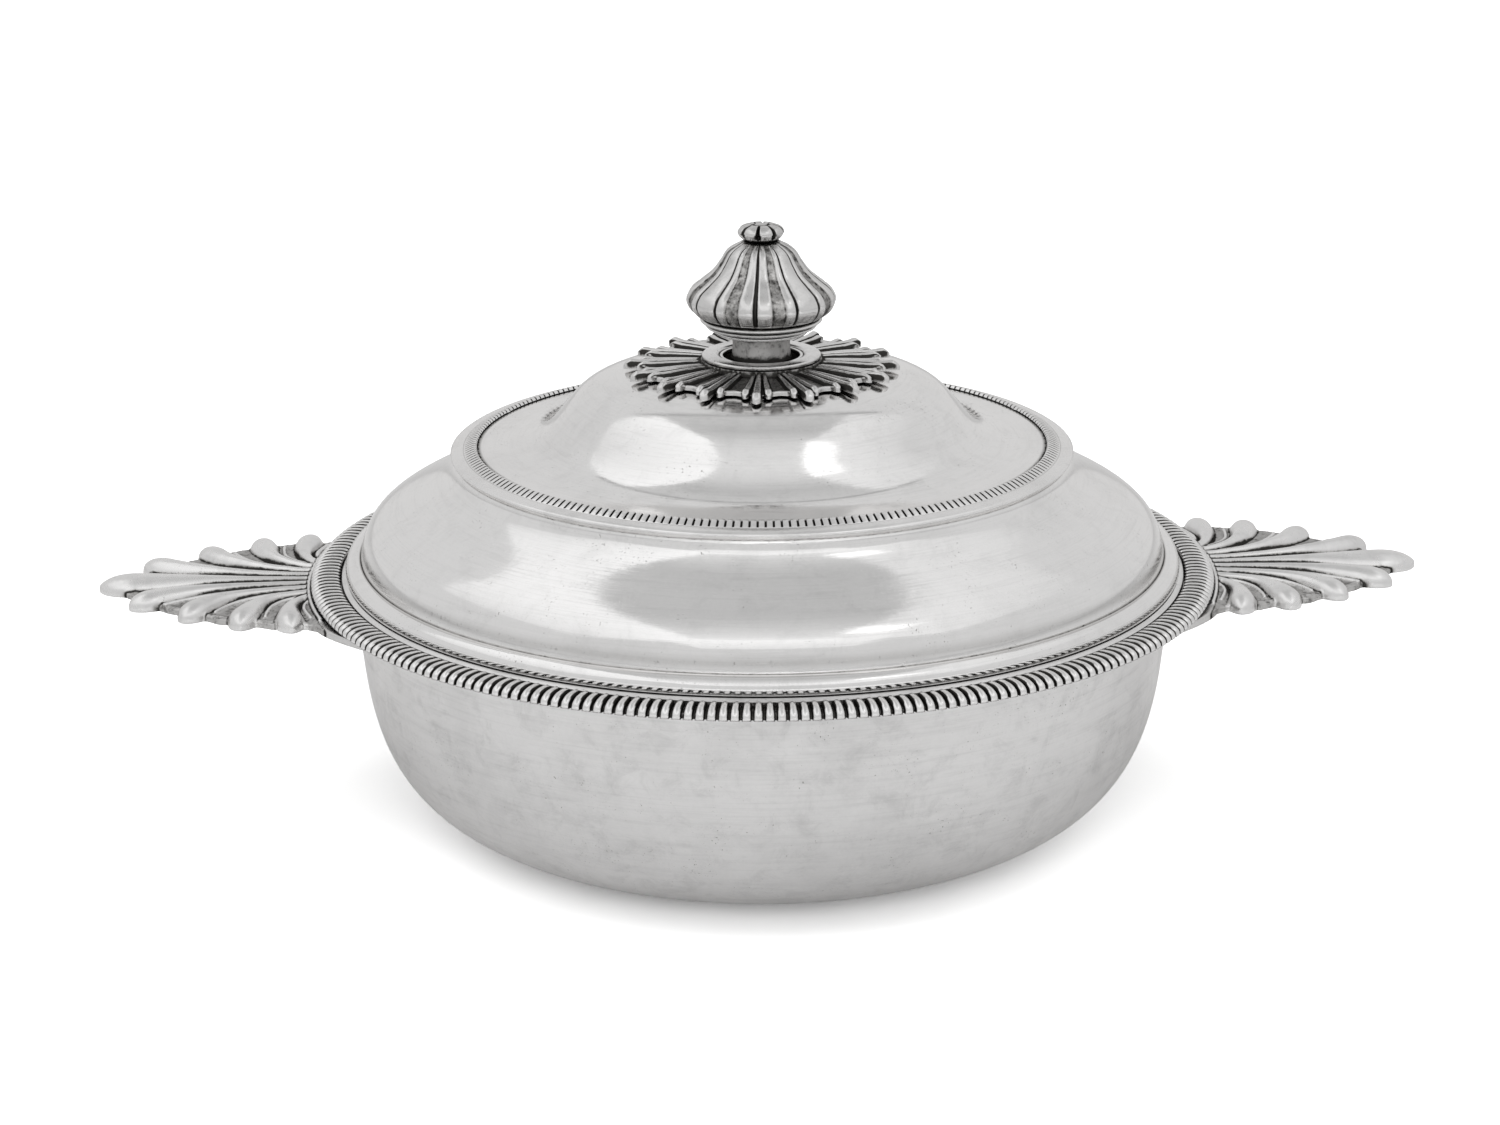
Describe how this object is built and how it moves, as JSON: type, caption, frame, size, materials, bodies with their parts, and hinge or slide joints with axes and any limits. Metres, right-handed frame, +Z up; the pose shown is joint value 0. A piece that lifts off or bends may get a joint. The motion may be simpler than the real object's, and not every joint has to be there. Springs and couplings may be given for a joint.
{
  "type": "ecuelle",
  "caption": "Shallow round bowl with two flat palmette handles and a domed lift-off lid with a lobed bud finial.",
  "frame": {"origin": "centre of the flat base, on the surface that the bowl stands on", "axes": "+Z up, the axis of the bowl and of the lid; +X from the left handle to the right handle; +Y away from the viewer"},
  "size_m": [0.3036, 0.2066, 0.1401],
  "materials": {
    "polished_silver": "polished silver, worn, with fine scratches running round the piece",
    "cast_silver": "cast and chased silver, tarnished dark in the grooves",
    "stud_brass": "plain turned brass, dull, hidden inside the lid"
  },
  "bodies": {
    "bowl": {"bowl_shell": "polished_silver", "rim_ledge": "polished_silver", "rim_gadroon": "cast_silver", "right_handle": "cast_silver", "left_handle": "cast_silver"},
    "lid": {"lid_shell": "polished_silver", "lid_bezel": "polished_silver", "lid_gadroon_ring": "cast_silver", "rosette": "cast_silver", "rosette_collar": "polished_silver", "finial_stem": "cast_silver", "bud_base_ring": "cast_silver", "finial_bud": "cast_silver", "finial_button": "cast_silver", "finial_stud": "stud_brass", "stud_washer": "stud_brass", "stud_nut": "stud_brass"}
  },
  "joints": [
    {"name": "lid_lift", "type": "slide", "parent": "bowl", "child": "lid", "axis": [0, 0, 1], "range_m": [0, 0.12]}
  ]
}
